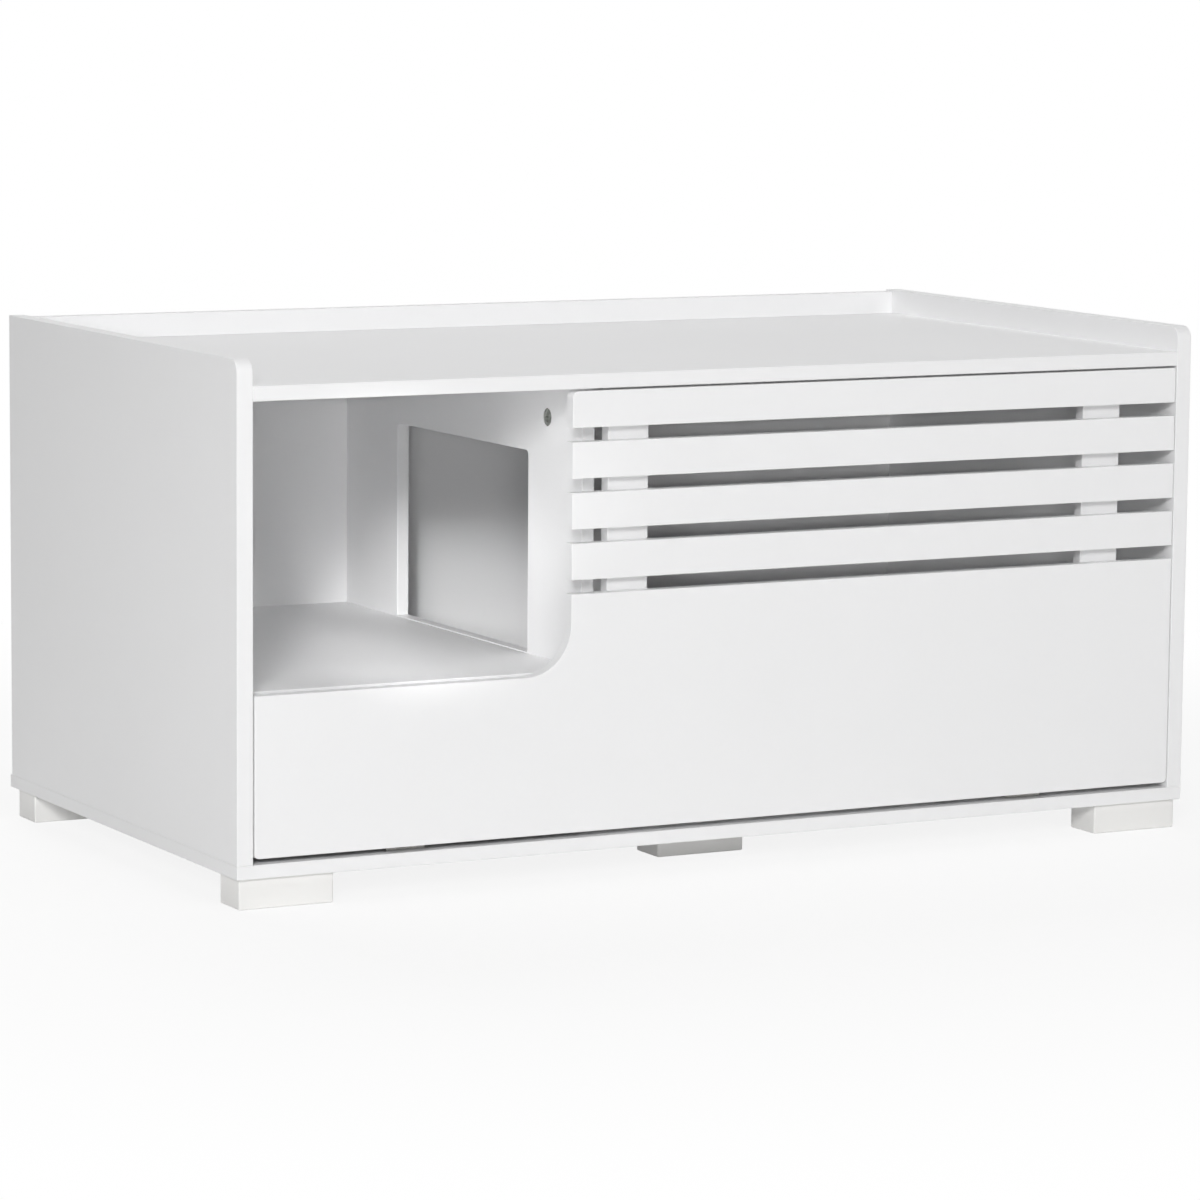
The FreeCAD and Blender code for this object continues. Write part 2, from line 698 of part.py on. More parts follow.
def hinges():
    """Two concealed flap hinges: a cranked base on the bottom panel, a leaf on the door and a pin."""
    for side, sign in SIDES.items():
        middle = "%s hinge_x" % sign
        base = side + "_hinge_base"
        leaf = side + "_hinge_leaf"
        plate_low = "%s - hinge_width / 2" % middle
        plate_high = "%s + hinge_width / 2" % middle
        low_x = "%s - base_knuckle_half" % middle
        high_x = "%s + base_knuckle_half" % middle
        arm_under = "pivot_z - hinge_sheet / 2"
        arm_top = "pivot_z + hinge_sheet / 2"
        plate_back = "crank_back + base_plate_depth"
        where = (low_x, "pivot_y", "pivot_z")
        blocks = [
            cylinder(base + "_knuckle", "knuckle_diameter", "base_knuckle_length", where, "+x"),
            box(base + "_arm", (low_x, "pivot_y", arm_under), (high_x, "crank_back", arm_top)),
            box(base + "_crank", (low_x, "crank_front", "base_top"), (high_x, "crank_back", arm_top)),
            box(base + "_plate", (plate_low, "crank_front", "base_top"),
                (plate_high, plate_back, "base_top + hinge_sheet")),
        ]
        nodes[base] = fuse(base + "_blank", blocks)
        blocks = [
            box(leaf + "_plate", (plate_low, "door_back", "leaf_plate_bottom"),
                (plate_high, "leaf_back", "leaf_plate_bottom + leaf_plate_height")),
        ]
        near = "%s + leaf_knuckle_start" % middle
        far = "%s - leaf_knuckle_start - leaf_knuckle_length" % middle
        for start in (near, far):
            end = start + " + leaf_knuckle_length"
            where = (start, "pivot_y", "pivot_z")
            knuckle = cylinder(leaf + "_knuckle", "knuckle_diameter", "leaf_knuckle_length", where, "+x")
            tab = box(leaf + "_tab", where, (end, "leaf_back", "pivot_z + knuckle_radius"))
            blocks.extend([knuckle, tab])
        nodes[leaf] = fuse(leaf + "_blank", blocks)
        start = (plate_low, "pivot_y", "pivot_z")
        pin = cylinder(side + "_hinge_pin_bar", "pin_diameter", "hinge_width", start, "+x")
        nodes[side + "_hinge_pin"] = pin
        for piece in (base, leaf):
            bore(piece, "knuckle_bore", "hinge_width + cut_overrun", start, "+x")
        notch_low = ("%s - notch_reach" % middle, "notch_front", "door_bottom - cut_overrun")
        notch_high = ("%s + notch_reach" % middle, "door_back + cut_overrun", "notch_top")
        cut_from("door_panel", box(side + "_notch", notch_low, notch_high))
        for way in "+-":
            screw_x = "%s %s hinge_screw_reach" % (middle, way)
            mouth = (screw_x, "crank_back + base_plate_depth / 2", "base_top + hinge_sheet")
            screw("hinge_base_screws", mouth, "-z", base, "bottom_panel")
            leaf_z = "(notch_top + leaf_plate_bottom + leaf_plate_height) / 2"
            mouth = (screw_x, "leaf_back", leaf_z)
            screw("hinge_leaf_screws", mouth, "-y", leaf, "door_panel")


def catches():
    """Two magnetic catches under the top panel, each facing a strike plate on a batten."""
    for side in SIDES:
        middle = side + "_batten_x"
        case = side + "_catch_case"
        strike = side + "_strike_plate"
        block_low = "%s - catch_block_width / 2" % middle
        block_high = "%s + catch_block_width / 2" % middle
        blocks = [
            box(case + "_block", (block_low, "catch_front", "catch_under"),
                (block_high, "catch_back", "table_under")),
            box(case + "_flange", (block_low + " - catch_ear", "catch_front", "flange_under"),
                (block_high + " + catch_ear", "catch_back", "table_under")),
        ]
        nodes[case] = fuse(case + "_blank", blocks)
        low = ("%s - magnet_half" % middle, "catch_front", "magnet_bottom")
        high = ("%s + magnet_half" % middle, "catch_front + magnet_depth", "magnet_top")
        nodes[side + "_catch_magnet"] = box(side + "_catch_magnet_bar", low, high)
        room_low = (low[0] + " - hole_clearance", "catch_front - cut_overrun", low[2] + " - hole_clearance")
        room_high = (high[0] + " + hole_clearance", high[1], high[2] + " + hole_clearance")
        cut_from(case, box(case + "_room", room_low, room_high))
        low = ("%s - strike_half" % middle, "batten_back", "strike_top - strike_height")
        high = ("%s + strike_half" % middle, "strike_back", "strike_top")
        nodes[strike] = box(strike + "_blank", low, high)
        for way in "+-":
            ear_x = "%s %s (catch_block_width + catch_ear) / 2" % (middle, way)
            mouth = (ear_x, "catch_front + catch_depth / 2", "flange_under")
            screw("catch_screws", mouth, "+z", case, "top_panel")
            strike_x = "%s %s (strike_half - strike_height / 2)" % (middle, way)
            mouth = (strike_x, "strike_back", "strike_top - strike_height / 2")
            screw("strike_screws", mouth, "-y", strike, side + "_batten")


def finish_nodes():
    """Cut every piece's holes, gather the fasteners into groups and label each node."""
    doc.recompute()
    for name, tools in cutters.items():
        tool = tools[0] if len(tools) == 1 else fuse(name + "_holes", tools)
        cut = doc.addObject("Part::Cut", name + "_cut")
        cut.Base = nodes[name]
        cut.Tool = tool
        doc.recompute()
        if cut.Shape.Volume >= nodes[name].Shape.Volume:
            raise RuntimeError(name + ": its holes cut nothing")
        nodes[name] = cut
    for name, links in copies.items():
        group = doc.addObject("Part::Compound", name + "_group")
        group.Links = links
        nodes[name] = group
    doc.recompute()
    for name, item in nodes.items():
        item.Label = name


def check_and_write():
    """Stop on any failed object or bad shape, then write one file for each node."""
    for item in doc.Objects:
        if "Invalid" in item.State or "Error" in item.State:
            raise RuntimeError("%s failed: %s" % (item.Name, item.State))
    for item in nodes.values():
        if item.Shape.isNull() or not item.Shape.isValid():
            raise RuntimeError(item.Label + " has a bad shape")
        if item.Label not in copies and len(item.Shape.Solids) != 1:
            raise RuntimeError("%s has %d solids" % (item.Label, len(item.Shape.Solids)))
    for item in nodes.values():
        item.Shape.exportStep("parts/%s.step" % item.Label)
        print(item.Label, len(item.Shape.Solids), round(item.Shape.Volume))


fill_sheet()
cam_master, bolt_master = cam_masters()
dowel_master = turned_body("dowel_master", [
    ("-dowel_half", "0"),
    ("dowel_half", "0"),
    ("dowel_half", "dowel_diameter / 2 - dowel_chamfer"),
    ("dowel_half - dowel_chamfer", "dowel_diameter / 2"),
    ("-dowel_half + dowel_chamfer", "dowel_diameter / 2"),
    ("-dowel_half", "dowel_diameter / 2 - dowel_chamfer"),
])
carcass()
feet()
carcass_joints()
door()
hinges()
catches()
finish_nodes()
check_and_write()
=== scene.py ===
import json
import math
from collections import namedtuple

import bpy
import numpy as np
from mathutils import Matrix, Vector

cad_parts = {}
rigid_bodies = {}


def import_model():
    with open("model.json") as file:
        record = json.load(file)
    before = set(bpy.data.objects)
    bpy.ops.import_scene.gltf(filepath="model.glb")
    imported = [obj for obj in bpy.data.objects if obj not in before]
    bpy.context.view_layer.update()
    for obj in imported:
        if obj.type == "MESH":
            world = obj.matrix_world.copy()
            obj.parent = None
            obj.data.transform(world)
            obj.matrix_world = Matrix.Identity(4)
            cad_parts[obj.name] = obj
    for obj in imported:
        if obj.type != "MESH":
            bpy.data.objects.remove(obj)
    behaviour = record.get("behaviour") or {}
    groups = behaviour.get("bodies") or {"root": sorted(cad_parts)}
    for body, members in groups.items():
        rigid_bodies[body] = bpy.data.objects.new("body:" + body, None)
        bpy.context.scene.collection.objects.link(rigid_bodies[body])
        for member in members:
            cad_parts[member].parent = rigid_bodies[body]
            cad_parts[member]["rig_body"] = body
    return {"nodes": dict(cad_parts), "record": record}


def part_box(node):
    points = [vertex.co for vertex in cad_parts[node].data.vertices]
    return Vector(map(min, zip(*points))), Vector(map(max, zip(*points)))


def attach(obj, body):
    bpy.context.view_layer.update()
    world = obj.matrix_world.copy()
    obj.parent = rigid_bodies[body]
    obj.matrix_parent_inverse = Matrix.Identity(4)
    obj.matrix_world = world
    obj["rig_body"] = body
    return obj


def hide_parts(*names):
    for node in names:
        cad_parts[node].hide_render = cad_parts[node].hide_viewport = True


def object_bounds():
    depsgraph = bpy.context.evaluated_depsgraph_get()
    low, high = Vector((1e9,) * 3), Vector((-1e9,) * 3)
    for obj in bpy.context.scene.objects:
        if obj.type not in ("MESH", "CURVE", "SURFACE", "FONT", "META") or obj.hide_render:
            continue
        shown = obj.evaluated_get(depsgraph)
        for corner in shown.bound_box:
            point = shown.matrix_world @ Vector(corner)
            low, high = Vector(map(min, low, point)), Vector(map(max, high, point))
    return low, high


bl_info = {
    "name": "Cat cabinet looks",
    "version": (1, 0, 0),
    "blender": (4, 5, 0),
    "location": "View3D > Sidebar > Cat cabinet",
    "description": "Finishes, threaded fasteners and stage of a white cat cabinet with a drop-down front",
    "category": "Object",
}

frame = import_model()
CAD_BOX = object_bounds()

QUARTER_TURN = math.pi / 2
FULL_TURN = 2 * math.pi
WELD_DISTANCE = 0.00001


# Properties

def colour(label, words, default):
    """A linear colour that a user may change."""
    return bpy.props.FloatVectorProperty(
        name=label, description=words, default=default, subtype="COLOR", size=3, min=0, max=1
    )


def length(label, words, default):
    """A length in metres that a user may change."""
    return bpy.props.FloatProperty(
        name=label, description=words, default=default, unit="LENGTH", min=0, precision=5
    )


def share(label, words, default):
    """A share between nothing and all."""
    return bpy.props.FloatProperty(
        name=label, description=words, default=default, subtype="FACTOR", min=0, max=1
    )


def power(label, words, watts):
    """A lamp's power in watts that a user may change."""
    return bpy.props.FloatProperty(name=label, description=words, default=watts, unit="POWER", min=0)


def angle(label, words, degrees):
    """An angle that a user may change."""
    return bpy.props.FloatProperty(
        name=label, description=words, default=math.radians(degrees), subtype="ANGLE"
    )


class CabinetFinish(bpy.types.PropertyGroup):
    """Colours and surface grain of the boards, feet and fittings."""

    carcass_white: colour("Carcass white", "Faced boards of the carcass", (0.92, 0.92, 0.925))
    door_white: colour("Door white", "Painted front and slats", (0.92, 0.92, 0.925))
    # The battens' white is darker than the door's as painted shade: it stands in for the shade that falls on
    # them behind the slats.
    batten_white: colour("Batten white", "Painted battens behind the slats", (0.85, 0.85, 0.855))
    foot_white: colour("Foot white", "Painted blocks under the cabinet", (0.90, 0.895, 0.88))
    core_brown: colour("Core brown", "Chipboard seen inside drilled holes", (0.36, 0.22, 0.11))
    zinc_grey: colour("Zinc grey", "Die-cast cams", (0.66, 0.69, 0.64))
    steel_grey: colour("Steel grey", "Plated screws, bolts and strike plates", (0.52, 0.53, 0.55))
    nickel_grey: colour("Nickel grey", "Plated hinges", (0.55, 0.54, 0.52))
    beech_tan: colour("Beech tan", "Dowels", (0.55, 0.37, 0.20))
    plastic_white: colour("Plastic white", "Catch cases", (0.80, 0.80, 0.78))
    ferrite_black: colour("Ferrite black", "Catch magnets", (0.03, 0.03, 0.032))
    mottle_share: share("Mottle", "How far the white varies over a board", 0.012)
    mottle_size: length("Mottle size", "Width of the broad patches of tone", 0.18)
    pebble_size: length("Pebble size", "Width of the grain pressed into the facing", 0.0006)
    peel_size: length("Peel size", "Width of the ripples in sprayed paint", 0.0028)
    band_width: length("Edge band", "Thickness of the band glued to a board's edge", 0.001)


class CabinetFasteners(bpy.types.PropertyGroup):
    """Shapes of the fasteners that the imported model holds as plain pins."""

    screw_pitch_share: share("Screw pitch", "Pitch as a share of the screw's diameter", 0.45)
    bolt_pitch_share: share("Bolt pitch", "Pitch as a share of the bolt's diameter", 0.36)
    core_share: share("Thread core", "Core as a share of the thread's diameter", 0.68)
    plain_share: share("Plain shank", "Share of a long screw that has no thread", 0.3)
    long_screw: length("Long screw", "Screws over this length have a plain shank", 0.03)
    recess_share: share("Recess reach", "Reach of the cross as a share of the head's radius", 0.52)
    recess_arm_share: share("Recess arm", "Width of an arm as a share of the head's radius", 0.22)
    recess_depth_share: share("Recess depth", "Depth of the cross as a share of the head's radius", 0.32)
    flutes: bpy.props.IntProperty(
        name="Flutes", description="Grooves round a dowel", default=18, min=6, max=40
    )
    flute_depth: length("Flute depth", "Depth of a dowel's grooves", 0.00035)


class CabinetStage(bpy.types.PropertyGroup):
    """Camera, lamps and floor."""

    camera_place: bpy.props.FloatVectorProperty(
        name="Camera place",
        description="Where the camera stands, from the floor under the middle of the cabinet",
        default=(-2.1762, -4.1102, 0.8262),
        subtype="TRANSLATION",
        unit="LENGTH",
        size=3,
    )
    camera_turn: angle("Camera turn", "Turn to the left about the upright axis", -27.942)
    camera_dip: angle("Camera dip", "How far the camera looks down", 7.563)
    camera_roll: angle("Camera roll", "Tilt of the picture", 0.501)
    camera_lens: bpy.props.FloatProperty(
        name="Lens", description="Focal length in millimetres", default=151.31, unit="CAMERA"
    )
    key_power: power("Key", "Power of the lamp in front at the left", 282)
    low_power: power("Low", "Power of the low strip in front at the left", 110)
    side_power: power("Side", "Power of the strip beside the front of the left side", 0.45)
    right_power: power("Right", "Power of the lamp in front at the right", 39)
    top_power: power("Top", "Power of the lamp in front and high above", 30)
    back_power: power("Back", "Power of the lamp behind and above", 56)
    ledge_power: power("Ledge", "Power of the spot on the entry's floor, from the left", 25)
    bay_power: power("Bay", "Power of the spot on the entry's floor, from the front", 17)
    divider_power: power("Divider", "Power of the low spot on the front of the divider", 6.5)
    room_light: bpy.props.FloatProperty(
        name="Room light", description="Strength of the even light from all round", default=0.01
    )
    floor_colour: colour("Floor", "Colour of the floor as light falls on it", (0.90, 0.90, 0.895))
    floor_fade_share: share("Floor fade", "How far the floor by the feet pales into the background", 0.86)
    shadow_start: length("Shadow start", "Distance from the middle at which the shadow starts to pale", 0.55)
    shadow_reach: length("Shadow reach", "Distance from the middle at which no shadow is left", 1.5)


# Shader nodes

def shade(tree, kind, inputs=None, **settings):
    """Add a shader node, with its settings, and set or link its inputs."""
    item = tree.nodes.new(kind)
    for name, value in settings.items():
        setattr(item, name, value)
    for key, value in (inputs or {}).items():
        if isinstance(value, bpy.types.NodeSocket):
            tree.links.new(value, item.inputs[key])
        else:
            item.inputs[key].default_value = value
    return item


def reckon(tree, operation, *values):
    """The result of a Math node."""
    return shade(tree, "ShaderNodeMath", dict(enumerate(values)), operation=operation).outputs[0]


def reckon_vector(tree, operation, *values):
    """The vector result of a Vector Math node."""
    return shade(tree, "ShaderNodeVectorMath", dict(enumerate(values)), operation=operation).outputs[0]


def ramp(tree, value, start, end, low=0.0, high=1.0):
    """Carry a value smoothly from low at start to high at end."""
    inputs = {"Value": value, "From Min": start, "From Max": end, "To Min": low, "To Max": high}
    return shade(tree, "ShaderNodeMapRange", inputs, interpolation_type="SMOOTHSTEP").outputs[0]


def blend_colours(tree, factor, first, second):
    """Mix two colours by a factor."""
    item = shade(tree, "ShaderNodeMix", data_type="RGBA")
    ports = {"Factor": factor, "A": first, "B": second}
    for port in item.inputs:
        if port.enabled and port.name in ports:
            value = ports[port.name]
            if isinstance(value, bpy.types.NodeSocket):
                tree.links.new(value, port)
            else:
                port.default_value = value
    return next(port for port in item.outputs if port.enabled)


def noise(tree, where, scale, detail):
    """Noise from 0 to 1 about a half."""
    inputs = {"Vector": where, "Scale": scale, "Detail": detail}
    return shade(tree, "ShaderNodeTexNoise", inputs).outputs["Fac"]


def opaque(rgb):
    """A colour with full alpha."""
    return (*rgb, 1.0)


SOCKETS = {
    "value": "NodeSocketFloat",
    "vector": "NodeSocketVector",
    "colour": "NodeSocketColor",
}


def new_group(name, inputs, outputs):
    """Start a shader node group with named sockets, each given as a name and a kind."""
    tree = bpy.data.node_groups.new(name, "ShaderNodeTree")
    for label, kind in inputs.items():
        tree.interface.new_socket(name=label, in_out="INPUT", socket_type=SOCKETS[kind])
    for label, kind in outputs.items():
        tree.interface.new_socket(name=label, in_out="OUTPUT", socket_type=SOCKETS[kind])
    entry = tree.nodes.new("NodeGroupInput")
    result = tree.nodes.new("NodeGroupOutput")
    return tree, entry.outputs, result.inputs


def use_group(tree, build, inputs):
    """Place a node group in a material, building it the first time."""
    name = build.__name__
    group = bpy.data.node_groups.get(name) or build(name)
    item = shade(tree, "ShaderNodeGroup", node_tree=group)
    for key, value in inputs.items():
        if isinstance(value, bpy.types.NodeSocket):
            tree.links.new(value, item.inputs[key])
        else:
            item.inputs[key].default_value = value
    return item.outputs


# Sums of the two noises at which the tone is fully light and fully dark.
MOTTLE_LOW, MOTTLE_HIGH = 0.7, 2.3


def tone_mottle(name):
    """Broad patches and fine flecks of tone: two noises added, the broad one twice as strong."""
    tree, entry, result = new_group(
        name,
        {"Where": "vector", "Scale": "value", "Fleck scale": "value", "Light": "colour", "Dark": "colour",
         "Smooth": "value", "Rough": "value"},
        {"Colour": "colour", "Roughness": "value"},
    )
    broad = noise(tree, entry["Where"], entry["Scale"], 3.0)
    fleck = noise(tree, entry["Where"], entry["Fleck scale"], 1.0)
    both = reckon(tree, "MULTIPLY_ADD", broad, 2.0, fleck)
    amount = shade(tree, "ShaderNodeMapRange",
                   {"Value": both, "From Min": MOTTLE_LOW, "From Max": MOTTLE_HIGH})
    dulled = blend_colours(tree, amount.outputs[0], entry["Light"], entry["Dark"])
    tree.links.new(dulled, result["Colour"])
    gloss = shade(tree, "ShaderNodeMapRange",
                  {"Value": broad, "To Min": entry["Smooth"], "To Max": entry["Rough"]})
    tree.links.new(gloss.outputs[0], result["Roughness"])
    return tree


def pressed_grain(name):
    """Height of a pressed or sprayed surface: rounded cells, softened by a slow ripple."""
    tree, entry, result = new_group(
        name,
        {"Where": "vector", "Scale": "value", "Ripple scale": "value", "Ripple": "value"},
        {"Height": "value"},
    )
    cells = shade(tree, "ShaderNodeTexVoronoi", {"Vector": entry["Where"], "Scale": entry["Scale"]},
                  feature="SMOOTH_F1")
    ripple = noise(tree, entry["Where"], entry["Ripple scale"], 2.0)
    tree.links.new(reckon(tree, "MULTIPLY_ADD", ripple, entry["Ripple"], cells.outputs["Distance"]),
                   result["Height"])
    return tree


# Where the facing ends and the core is fully bare, in metres, and the seam as a share of the band.
FACING_END, CORE_START = 0.0004, 0.0007
SEAM_SHARE = 0.2


def board_edges(name):
    """Masks from a point's distance to the six sides of its board's box.

    The smallest of the three distances is the depth under the facing, and the middle one is how far
    the nearest edge lies. A band runs along each edge, with a seam where it meets the facing, and a
    point deeper than the facing lies in a drilled hole, unless it is in the box of a finished cut-out.
    """
    tree, entry, result = new_group(
        name,
        {"Where": "vector", "Low": "vector", "High": "vector", "Cut low": "vector", "Cut high": "vector",
         "Band": "value"},
        {"Band": "value", "Seam": "value", "Hole": "value"},
    )

    def nearest(low, high):
        above = reckon_vector(tree, "SUBTRACT", entry["Where"], low)
        below = reckon_vector(tree, "SUBTRACT", high, entry["Where"])
        closer = reckon_vector(tree, "MINIMUM", above, below)
        return shade(tree, "ShaderNodeSeparateXYZ", {0: closer}).outputs

    x, y, z = nearest(entry["Low"], entry["High"])
    lesser = reckon(tree, "MINIMUM", x, y)
    greater = reckon(tree, "MAXIMUM", x, y)
    depth = reckon(tree, "MINIMUM", lesser, z)
    edge = reckon(tree, "MAXIMUM", lesser, reckon(tree, "MINIMUM", greater, z))
    from_seam = reckon(tree, "ABSOLUTE", reckon(tree, "SUBTRACT", edge, entry["Band"]))
    seam_width = reckon(tree, "MULTIPLY", entry["Band"], SEAM_SHARE)
    cut = nearest(entry["Cut low"], entry["Cut high"])
    cut_depth = reckon(tree, "MINIMUM", reckon(tree, "MINIMUM", cut[0], cut[1]), cut[2])
    outside_cut = reckon(tree, "LESS_THAN", cut_depth, 0.0)
    deep = ramp(tree, depth, FACING_END, CORE_START)
    tree.links.new(ramp(tree, edge, entry["Band"], 0.0), result["Band"])
    tree.links.new(ramp(tree, from_seam, seam_width, 0.0), result["Seam"])
    tree.links.new(reckon(tree, "MULTIPLY", deep, outside_cut), result["Hole"])
    return tree


def metal_grain(name):
    """Tone, gloss and height of plated or cast metal: cloudy stain with fine pits."""
    tree, entry, result = new_group(
        name,
        {"Where": "vector", "Pit scale": "value", "Cloud scale": "value", "Clean": "colour",
         "Stained": "colour", "Smooth": "value", "Rough": "value"},
        {"Colour": "colour", "Roughness": "value", "Height": "value"},
    )
    cloud = noise(tree, entry["Where"], entry["Cloud scale"], 4.0)
    pits = noise(tree, entry["Where"], entry["Pit scale"], 2.0)
    stain = ramp(tree, cloud, 0.4, 0.7)
    tree.links.new(blend_colours(tree, stain, entry["Clean"], entry["Stained"]), result["Colour"])
    mixed = reckon(tree, "MULTIPLY", reckon(tree, "ADD", cloud, pits), 0.5)
    gloss = shade(tree, "ShaderNodeMapRange", {"Value": mixed, "From Min": 0.3, "From Max": 0.7,
                                               "To Min": entry["Smooth"], "To Max": entry["Rough"]})
    tree.links.new(gloss.outputs[0], result["Roughness"])
    tree.links.new(pits, result["Height"])
    return tree


# Materials

# Least and greatest roughness of the facing and the paint.
FACING_GLOSS = (0.44, 0.52)
PAINT_GLOSS = (0.46, 0.54)

# The facing's chips to the metre, the strength of its seams, and how far its bands are smoother and its core
# rougher than it is.
CHIP_SCALE = 900.0
SEAM_STRENGTH = 0.12
BAND_SMOOTHING = 0.05
CORE_ROUGHENING = 0.5

# Depths in metres of the grain in a surface.
FACING_GRAIN_DEPTH = 0.000006
PEEL_DEPTHS = {"sprayed front": 0.00001, "sprayed batten": 0.000014, "sprayed foot": 0.000016}
BEECH_RING_DEPTH = 0.00003
PLASTIC_GRAIN_DEPTH = 0.00001
FERRITE_PIT_DEPTH = 0.00003

# A metal's least and greatest roughness, its pits to the metre and their depth in metres.
Plating = namedtuple("Plating", "smooth rough pit_scale depth")
PLATINGS = {
    "cast zinc": Plating(0.45, 0.65, 1500.0, 0.00003),
    "plated bolt": Plating(0.22, 0.4, 2200.0, 0.000006),
    "plated screw": Plating(0.24, 0.42, 2400.0, 0.000006),
    "plated hinge": Plating(0.2, 0.36, 1300.0, 0.000008),
    "plated strike": Plating(0.26, 0.44, 1700.0, 0.000008),
}

# How far each tone falls below its material's own colour.
SEAM_DARKENING = 0.5
CHIP_DARKENING = 0.45
STAIN_DARKENING = 0.3
RING_DARKENING = 0.22
FLECK_DARKENING = 0.55
PLASTIC_DARKENING = 0.06
FERRITE_PALING = 1.2


def new_material(name, inputs):
    """A node material with one Principled shader, and the Object coordinates that its patterns follow."""
    material = bpy.data.materials.new(name)
    material.use_nodes = True
    tree = material.node_tree
    shader = tree.nodes["Principled BSDF"]
    for key, value in inputs.items():
        shader.inputs[key].default_value = value
    where = tree.nodes.new("ShaderNodeTexCoord").outputs["Object"]
    return material, tree, shader, where


def roughen(tree, shader, height, distance):
    """Turn a height from 0 to 1 into a bumped normal."""
    bump = shade(tree, "ShaderNodeBump", {"Height": height, "Strength": 1.0, "Distance": distance})
    tree.links.new(bump.outputs[0], shader.inputs["Normal"])


def darker(rgb, amount):
    """The same colour, less a share of it."""
    return opaque([part * (1 - amount) for part in rgb])


def faced_board(name, low, high, cut_low, cut_high):
    """White faced board: faint mottle, pressed pebble grain, banded edges and chipboard inside its holes."""
    look = bpy.context.scene.cabinet_finish
    material, tree, shader, where = new_material(name, {"Specular IOR Level": 0.5})
    face = use_group(tree, tone_mottle, {
        "Where": where, "Scale": 1 / look.mottle_size, "Fleck scale": 1 / look.peel_size,
        "Light": opaque(look.carcass_white), "Dark": darker(look.carcass_white, look.mottle_share),
        "Smooth": FACING_GLOSS[0], "Rough": FACING_GLOSS[1],
    })
    edges = use_group(tree, board_edges, {
        "Where": where, "Low": low, "High": high, "Cut low": cut_low, "Cut high": cut_high,
        "Band": look.band_width,
    })
    chips = noise(tree, where, CHIP_SCALE, 3.0)
    core = blend_colours(tree, ramp(tree, chips, 0.35, 0.65), opaque(look.core_brown),
                         darker(look.core_brown, CHIP_DARKENING))
    seamed = blend_colours(tree, reckon(tree, "MULTIPLY", edges["Seam"], SEAM_STRENGTH), face["Colour"],
                           darker(look.carcass_white, SEAM_DARKENING))
    tree.links.new(blend_colours(tree, edges["Hole"], seamed, core), shader.inputs["Base Color"])
    banded = reckon(tree, "MULTIPLY_ADD", edges["Band"], -BAND_SMOOTHING, face["Roughness"])
    bared = reckon(tree, "MULTIPLY_ADD", edges["Hole"], CORE_ROUGHENING, banded)
    tree.links.new(bared, shader.inputs["Roughness"])
    grain = use_group(tree, pressed_grain, {
        "Where": where, "Scale": 1 / look.pebble_size, "Ripple scale": 1 / look.peel_size, "Ripple": 0.6,
    })
    roughen(tree, shader, grain["Height"], FACING_GRAIN_DEPTH)
    return material


def sprayed_paint(name, rgb):
    """Sprayed satin paint: faint mottle and the slow ripple of paint that has flowed out."""
    look = bpy.context.scene.cabinet_finish
    material, tree, shader, where = new_material(name, {"Specular IOR Level": 0.5})
    face = use_group(tree, tone_mottle, {
        "Where": where, "Scale": 1 / look.mottle_size, "Fleck scale": 1 / look.peel_size,
        "Light": opaque(rgb), "Dark": darker(rgb, look.mottle_share),
        "Smooth": PAINT_GLOSS[0], "Rough": PAINT_GLOSS[1],
    })
    tree.links.new(face["Colour"], shader.inputs["Base Color"])
    tree.links.new(face["Roughness"], shader.inputs["Roughness"])
    grain = use_group(tree, pressed_grain, {
        "Where": where, "Scale": 1 / look.peel_size, "Ripple scale": 0.4 / look.peel_size, "Ripple": 1.5,
    })
    roughen(tree, shader, grain["Height"], PEEL_DEPTHS[name])
    return material


def plated_metal(name, rgb):
    """Plated or cast metal with cloudy stain and fine pits."""
    plating = PLATINGS[name]
    material, tree, shader, where = new_material(name, {"Metallic": 1.0})
    grain = use_group(tree, metal_grain, {
        "Where": where, "Pit scale": plating.pit_scale, "Cloud scale": 160.0, "Clean": opaque(rgb),
        "Stained": darker(rgb, STAIN_DARKENING), "Smooth": plating.smooth, "Rough": plating.rough,
    })
    tree.links.new(grain["Colour"], shader.inputs["Base Color"])
    tree.links.new(grain["Roughness"], shader.inputs["Roughness"])
    roughen(tree, shader, grain["Height"], plating.depth)
    return material


def beech(name):
    """Beech: bands of growth along the grain and short dark flecks."""
    look = bpy.context.scene.cabinet_finish
    material, tree, shader, where = new_material(name, {"Roughness": 0.62})
    rings = shade(tree, "ShaderNodeTexWave", {
        "Vector": where, "Scale": 190.0, "Distortion": 6.0, "Detail": 2.0, "Detail Scale": 1.5,
    }).outputs["Fac"]
    flecks = ramp(tree, noise(tree, where, 1800.0, 1.0), 0.58, 0.7)
    tan = blend_colours(tree, rings, opaque(look.beech_tan), darker(look.beech_tan, RING_DARKENING))
    tree.links.new(blend_colours(tree, reckon(tree, "MULTIPLY", flecks, 0.6), tan,
                                 darker(look.beech_tan, FLECK_DARKENING)), shader.inputs["Base Color"])
    roughen(tree, shader, rings, BEECH_RING_DEPTH)
    return material


def moulded_plastic(name):
    """White moulded plastic with an eroded grain."""
    look = bpy.context.scene.cabinet_finish
    material, tree, shader, where = new_material(name, {"Specular IOR Level": 0.5})
    face = use_group(tree, tone_mottle, {
        "Where": where, "Scale": 60.0, "Fleck scale": 900.0, "Light": opaque(look.plastic_white),
        "Dark": darker(look.plastic_white, PLASTIC_DARKENING), "Smooth": 0.4, "Rough": 0.55,
    })
    tree.links.new(face["Colour"], shader.inputs["Base Color"])
    tree.links.new(face["Roughness"], shader.inputs["Roughness"])
    grain = use_group(tree, pressed_grain, {
        "Where": where, "Scale": 3000.0, "Ripple scale": 700.0, "Ripple": 0.5,
    })
    roughen(tree, shader, grain["Height"], PLASTIC_GRAIN_DEPTH)
    return material


